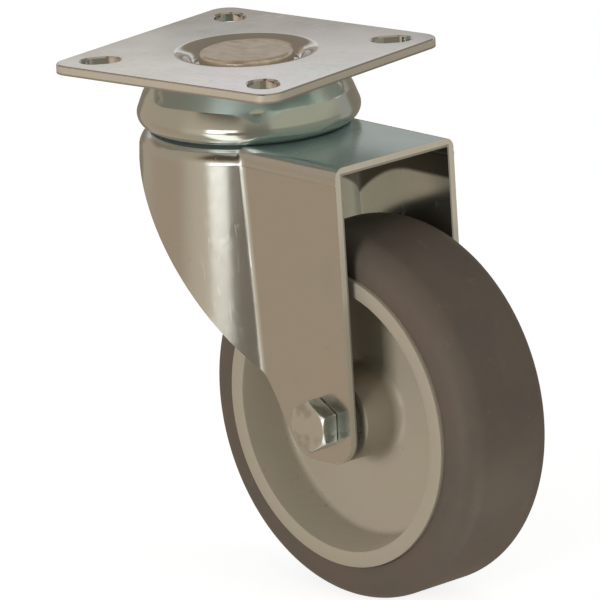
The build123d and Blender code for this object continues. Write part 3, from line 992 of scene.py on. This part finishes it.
class CASTOR_OT_top_plate(bpy.types.Operator):
    """Models the top plate: rounded corners, bevelled slots and the pressed dish, and plates it"""

    bl_idname = "castor.top_plate"
    bl_label = "Top plate"

    def execute(self, context):
        settings = context.scene.castor_plate
        steps = settings.steps
        side = 2 * PLATE_HALF
        plate = block("dished_plate", (side, side, PLATE_THICKNESS), -PLATE_THICKNESS)
        choose("EDGE", upright)
        bevel(settings.corner, CORNER_STEPS)
        choose("EDGE", lambda edge: all(vertex.co.z > -MERGE for vertex in edge.verts))
        bevel(settings.edge_round, EDGE_STEPS)
        end_editing()
        under = -settings.dish_depth - PLATE_THICKNESS
        boss_outline = [
            (settings.boss_radius, -PLATE_THICKNESS / 2, 0),
            (settings.boss_radius, -PLATE_THICKNESS, 0),
            (settings.boss_foot, under, settings.boss_round),
        ]
        combine(plate, turn("boss", boss_outline, steps, solid=True), "UNION")
        combine(plate, turn("dish", dish_outline(settings), steps, solid=True), "DIFFERENCE")
        pin_radius = context.scene.castor_pin.radius
        drill = rod("drill", pin_radius, PLATE_THICKNESS, under - MM, steps)
        combine(plate, drill, "DIFFERENCE")
        outwards = Matrix.Translation((settings.slot_place * sqrt(2), 0, 0))
        for corner in (45, 135, 225, 315):
            cutter = slot_cutter(settings)
            cutter.data.transform(Matrix.Rotation(radians(corner), 4, "Z") @ outwards)
            combine(plate, cutter, "DIFFERENCE")
        place(plate, IN_PLACE)
        change(plate, "WEIGHTED_NORMAL", keep_sharp=True)
        wave = context.scene.castor_sheet.plate_wave
        finish = plating("plate", wave, plate_edge, PLATE_WASHES)
        hand_over(plate, finish, "root", "plate_zinc", "top_plate")
        return {"FINISHED"}


class CASTOR_OT_fork(bpy.types.Operator):
    """Plates the fork with bright zinc"""

    bl_idname = "castor.fork"
    bl_label = "Fork"

    def execute(self, context):
        wave = context.scene.castor_sheet.sheet_wave
        set_finish(plating("fork", wave, fork_edge, FORK_WASHES), "fork")
        return {"FINISHED"}


# ---- swivel head ----
def sheet_outline(line, bends, sheet, end_round):
    """Closed outline of a bent sheet from its outer line of (radius, height), one bend radius for
    each inner corner, its thickness and its end's rounding. The sheet lies to the line's right."""
    corners = [Vector(corner) for corner in line]
    runs = [(after - before).normalized() for before, after in zip(corners, corners[1:])]
    rights = [Vector((run.y, -run.x)) for run in runs]
    outer, inner = [(*corners[0], 0)], [(*(corners[0] + rights[0] * sheet), 0)]
    for corner, bend, before, after in zip(corners[1:], bends, rights, rights[1:]):
        half_turn = before.angle(after) / 2
        left = before.x * after.y > before.y * after.x
        outer.append((*corner, bend * tan(half_turn)))
        inside = max(bend + sheet if left else bend - sheet, 0.05 * MM)
        within = corner + (before + after) * (sheet / (1 + before.dot(after)))
        inner.append((*within, inside * tan(half_turn)))
    outer.append((*corners[-1], end_round))
    inner.append((*(corners[-1] + rights[-1] * sheet), end_round))
    return outer + inner[::-1]


class CASTOR_OT_swivel_skirt(bpy.types.Operator):
    """Models the pressed skirt of the swivel head, with its crease and turned-in lip"""

    bl_idname = "castor.swivel_skirt"
    bl_label = "Swivel skirt"

    def execute(self, context):
        settings = context.scene.castor_skirt
        line = [
            (settings.bore, -settings.top),
            (settings.shoulder_radius, -settings.top),
            (settings.waist_radius, -settings.waist),
            (settings.lip_radius, -settings.lip),
            (settings.foot_radius, -settings.foot),
        ]
        bends = [settings.shoulder_bend, settings.waist_bend, settings.lip_bend]
        outline = sheet_outline(line, bends, settings.sheet, settings.foot_round)
        piece = turn("swivel_skirt", outline, settings.steps)
        hinge = UP.cross(direction(degrees(settings.lean_side), 0))
        place(piece, Matrix.Rotation(settings.lean, 4, hinge))
        finish = plating("race", context.scene.castor_sheet.sheet_wave)
        hand_over(piece, finish, "root", "race_zinc", "upper_race")
        set_finish(finish, "lower_race")
        return {"FINISHED"}


HEAD_RINGS = 14  # rings of vertices on the head's face, for its hammer marks


class CASTOR_OT_kingpin(bpy.types.Operator):
    """Models the kingpin with its hammered rivet head and foot"""

    bl_idname = "castor.kingpin"
    bl_label = "Kingpin"

    def execute(self, context):
        settings = context.scene.castor_pin
        head, foot = PIN_HEAD_RADIUS, settings.foot_radius
        rings = [head * ring / (HEAD_RINGS + 1) for ring in range(1, HEAD_RINGS + 1)]
        outline = [(radius, PIN_HIGH, 0) for radius in rings] + [
            (head, PIN_HIGH, settings.rounding),
            (head, -settings.seat, 0),
            (settings.radius, -settings.seat, 0),
            (settings.radius, RACE_UNDER, 0),
            (foot, RACE_UNDER, settings.foot_round),
            (foot, PIN_LOW, settings.rounding),
            (foot * 0.66, PIN_LOW, 0),
            (foot * 0.33, PIN_LOW, 0),
        ]
        piece = turn("rivet_kingpin", outline, settings.steps, solid=True)
        hammered = piece.vertex_groups.new(name="hammered")
        flat = head - settings.rounding
        for vertex in piece.data.vertices:
            if vertex.co.z > PIN_HIGH - 0.01 * MM:
                fade = min(1.0, (flat - vertex.co.to_2d().length) / settings.fade)
                hammered.add([vertex.index], max(0.0, fade), "REPLACE")
        dents = bpy.data.textures.new("hammer_marks", "VORONOI")
        dents.noise_scale = settings.dent_size
        marks = {"texture": dents, "texture_coords": "LOCAL", "direction": "Z"}
        marks.update(strength=settings.dent_depth, mid_level=1.0, vertex_group=hammered.name)
        change(piece, "DISPLACE", **marks)
        for vertex in piece.data.vertices:
            vertex.co.z = min(vertex.co.z, PIN_HIGH)
        place(piece, IN_PLACE, smooth=45)
        hand_over(piece, peened_steel(settings), "root", "pin_steel", "kingpin")
        return {"FINISHED"}


# ---- wheel ----
def both_sides(outline):
    """A section that is the same on both sides of the wheel's middle."""
    return outline + [(radius, -height, rounding) for radius, height, rounding in outline[::-1]]


class CASTOR_OT_wheel_centre(bpy.types.Operator):
    """Models the moulded wheel centre: hub, web and rim"""

    bl_idname = "castor.wheel_centre"
    bl_label = "Wheel centre"

    def execute(self, context):
        settings = context.scene.castor_wheel
        half = TYRE_HIGH + settings.rim_proud
        web = settings.web / 2
        inner = settings.rim_radius - settings.rim_wall
        edge = settings.edge_round
        outline = [
            (CORE_BORE, settings.bearing_seat, 0),
            (settings.bearing_radius, settings.bearing_seat, 0),
            (settings.bearing_radius, CORE_HIGH, edge),
            (settings.hub_radius - settings.hub_draft, CORE_HIGH, edge),
            (settings.hub_radius, web, settings.hub_round),
            (inner - settings.wall_draft, web, settings.web_round),
            (inner, half, edge),
            (settings.rim_radius, half, edge),
            (settings.rim_radius, settings.key_width / 2, 0),
            (CORE_KEY_RADIUS, settings.key_width / 2, 0),
        ]
        piece = turn("wheel_centre", both_sides(outline), settings.steps)
        place(piece, ON_AXLE)
        hand_over(piece, moulded_plastic(settings), "wheel", "core_plastic", "wheel_core")
        return {"FINISHED"}


class CASTOR_OT_tyre(bpy.types.Operator):
    """Models the soft tyre that is moulded on the rim"""

    bl_idname = "castor.tyre"
    bl_label = "Tyre"

    def execute(self, context):
        settings = context.scene.castor_wheel
        outline = [
            (CORE_KEY_RADIUS, settings.key_width / 2, 0),
            (settings.rim_radius, settings.key_width / 2, 0),
            (settings.rim_radius, TYRE_HIGH, settings.tyre_lip),
            (TYRE_RADIUS, TYRE_HIGH, settings.tyre_shoulder),
        ]
        piece = turn("soft_tyre", both_sides(outline), settings.steps)
        place(piece, ON_AXLE, smooth=40)
        hand_over(piece, soft_rubber(settings), "wheel", "tyre_rubber", "tyre")
        return {"FINISHED"}


# ---- axle bolt and nut ----
HEX_FACE = cos(pi / 6) * 0.96  # radius of a hexagon's turned face, for a corner radius of 1
HEX_WIDE = 1.2  # where the turning tool's cone starts, clear of the corners
HEX_SLOPE = radians(30)
SHARP_EDGE = radians(25)  # edges that turn by more than this are rounded
THREAD_RINGS = 10  # rings of vertices in one turn of the thread
THREAD_FLANK = 2.4  # how steeply a ridge of the thread rises


def hexagon(name, settings, corner_radius, low, high, matrix=IN_PLACE):
    """A hexagonal prism, corners up and down, with the turned-off cone at its upper end. It is set
    in its place before its edges are rounded."""
    prism = {"vertices": 6, "radius": corner_radius, "depth": high - low}
    prism.update(shift=(0, 0, (low + high) / 2))
    piece = begin(name, bpy.ops.mesh.primitive_cylinder_add, **prism)
    end_editing()
    face, wide = corner_radius * HEX_FACE, corner_radius * HEX_WIDE
    drop = (wide - face) * tan(HEX_SLOPE)
    outline = [(face, high, 0), (wide, high - drop, 0), (wide, low - wide, 0)]
    combine(piece, turn("cone", outline, settings.steps, solid=True), "INTERSECT")
    piece.data.transform(matrix)
    edges = {"width": settings.edge_round, "segments": 2}
    change(piece, "BEVEL", limit_method="ANGLE", angle_limit=SHARP_EDGE, **edges)
    return piece


def thread(piece, settings, start, end):
    """Cuts a screw thread into the rings of a shank between two heights."""
    root = settings.shank - settings.thread_depth
    for vertex in piece.data.vertices:
        x, y, z = vertex.co
        radius = sqrt(x * x + y * y)
        if start <= z <= end and radius > root:
            turns = (z / settings.pitch - atan2(y, x) / (2 * pi)) % 1.0
            ridge = min(1.0, THREAD_FLANK * min(turns, 1 - turns))
            wanted = min(radius, root + settings.thread_depth * ridge)
            vertex.co.x *= wanted / radius
            vertex.co.y *= wanted / radius


class CASTOR_OT_axle_bolt(bpy.types.Operator):
    """Models the axle bolt: hexagon head, washer face, shank and threaded end"""

    bl_idname = "castor.axle_bolt"
    bl_label = "Axle bolt"

    def execute(self, context):
        settings = context.scene.castor_axle
        height, tip = settings.head_height, settings.thread_depth
        face = BOLT_LOW + height
        upside_down = Matrix.Translation((0, 0, face)) @ Matrix.Rotation(pi, 4, "X")
        sizes = (BOLT_CORNER_RADIUS, settings.washer_face, height)
        head = hexagon("hex_bolt", settings, *sizes, upside_down)
        washer = BOLT_CORNER_RADIUS * HEX_FACE
        inside = face - 2 * settings.washer_face
        threaded = BOLT_HIGH - tip - NUT_LOW
        rings = ceil(threaded / settings.pitch * THREAD_RINGS)
        rise = threaded / rings
        outline = [(washer * 0.6, inside, 0), (washer, inside, 0), (washer, face, 0)]
        outline += [(settings.shank, face, 0)]
        outline += [(settings.shank, NUT_LOW + rise * ring, 0) for ring in range(rings + 1)]
        outline += [(settings.shank - tip, BOLT_HIGH, 0)]
        shank = turn("shank", outline, settings.steps, solid=True)
        thread(shank, settings, NUT_LOW + settings.pitch, BOLT_HIGH)
        combine(head, shank, "UNION")
        place(head, ON_AXLE)
        hand_over(head, bright_bolt(settings), "fork", "bolt_zinc", "axle_bolt")
        return {"FINISHED"}


class CASTOR_OT_lock_nut(bpy.types.Operator):
    """Models the lock nut with its rolled collar, and gives its nylon ring a finish"""

    bl_idname = "castor.lock_nut"
    bl_label = "Lock nut"

    def execute(self, context):
        settings = context.scene.castor_axle
        top = NUT_LOW + settings.nut_height
        piece = hexagon("lock_nut", settings, NUT_CORNER_RADIUS, NUT_LOW, top)
        low, high, bore, outer = turned_size("nut_insert", AXLE, ACROSS)
        lip = (bore + outer) / 2
        collar_outline = [
            (lip, NUT_HIGH, 0),
            (settings.collar_radius, NUT_HIGH, settings.collar_round),
            (settings.collar_radius, low - MM, 0),
            (lip, low - MM, 0),
        ]
        combine(piece, turn("collar", collar_outline, settings.steps, solid=True), "UNION")
        cuts = {
            "drill": (bore, NUT_HIGH + MM, NUT_LOW - MM),
            "recess": (outer, high, low),
            "mouth": (lip, NUT_HIGH + MM, low + 0.1 * MM),
        }
        for name, (radius, start, end) in cuts.items():
            combine(piece, rod(name, radius, start, end, settings.steps), "DIFFERENCE")
        place(piece, ON_AXLE)
        hand_over(piece, bright_bolt(settings), "fork", "bolt_zinc", "axle_nut")
        set_finish(nylon(), "nut_insert")
        return {"FINISHED"}


class CASTOR_OT_bearings(bpy.types.Operator):
    """Gives the bearings, the swivel's balls, the distance tube and the washers their finishes"""

    bl_idname = "castor.bearings"
    bl_label = "Bearings"

    def execute(self, context):
        ground = turned_steel("ground_steel", (0.6, 0.6, 0.61), 0.12)
        turned = turned_steel("turned_steel", (0.52, 0.51, 0.5), 0.3)
        set_finish(ground, "upper_balls", "lower_balls")
        set_finish(turned, "distance_tube", "axle_spacers")
        for side in ("bolt_side", "nut_side"):
            rings = [f"inner_ring_{side}", f"outer_ring_{side}"]
            set_finish(ground, *rings, f"bearing_balls_{side}")
            set_finish(turned, f"bearing_shields_{side}")
            set_finish(nylon(), f"bearing_cage_{side}")
        return {"FINISHED"}


STEPS = (
    CASTOR_OT_studio,
    CASTOR_OT_top_plate,
    CASTOR_OT_fork,
    CASTOR_OT_swivel_skirt,
    CASTOR_OT_kingpin,
    CASTOR_OT_wheel_centre,
    CASTOR_OT_tyre,
    CASTOR_OT_axle_bolt,
    CASTOR_OT_lock_nut,
    CASTOR_OT_bearings,
)


class CASTOR_PT_sidebar(bpy.types.Panel):
    """Lists the castor's pieces and their settings"""

    bl_idname = "CASTOR_PT_sidebar"
    bl_label = "Swivel castor"
    bl_space_type = "VIEW_3D"
    bl_region_type = "UI"
    bl_category = "Castor"

    def draw(self, context):
        column = self.layout.column()
        for step in STEPS:
            column.operator(step.bl_idname)
        for name, group in SETTINGS.items():
            box = self.layout.box()
            for field in group.__annotations__:
                box.prop(getattr(context.scene, name), field)


def register():
    for kind in (*SETTINGS.values(), *STEPS, CASTOR_PT_sidebar):
        bpy.utils.register_class(kind)
    for name, group in SETTINGS.items():
        setattr(bpy.types.Scene, name, PointerProperty(type=group))


def unregister():
    for name in SETTINGS:
        delattr(bpy.types.Scene, name)
    for kind in reversed((*SETTINGS.values(), *STEPS, CASTOR_PT_sidebar)):
        bpy.utils.unregister_class(kind)


def main():
    register()
    for step in STEPS:
        group, action = step.bl_idname.split(".")
        getattr(getattr(bpy.ops, group), action)()


if __name__ == "__main__":
    main()
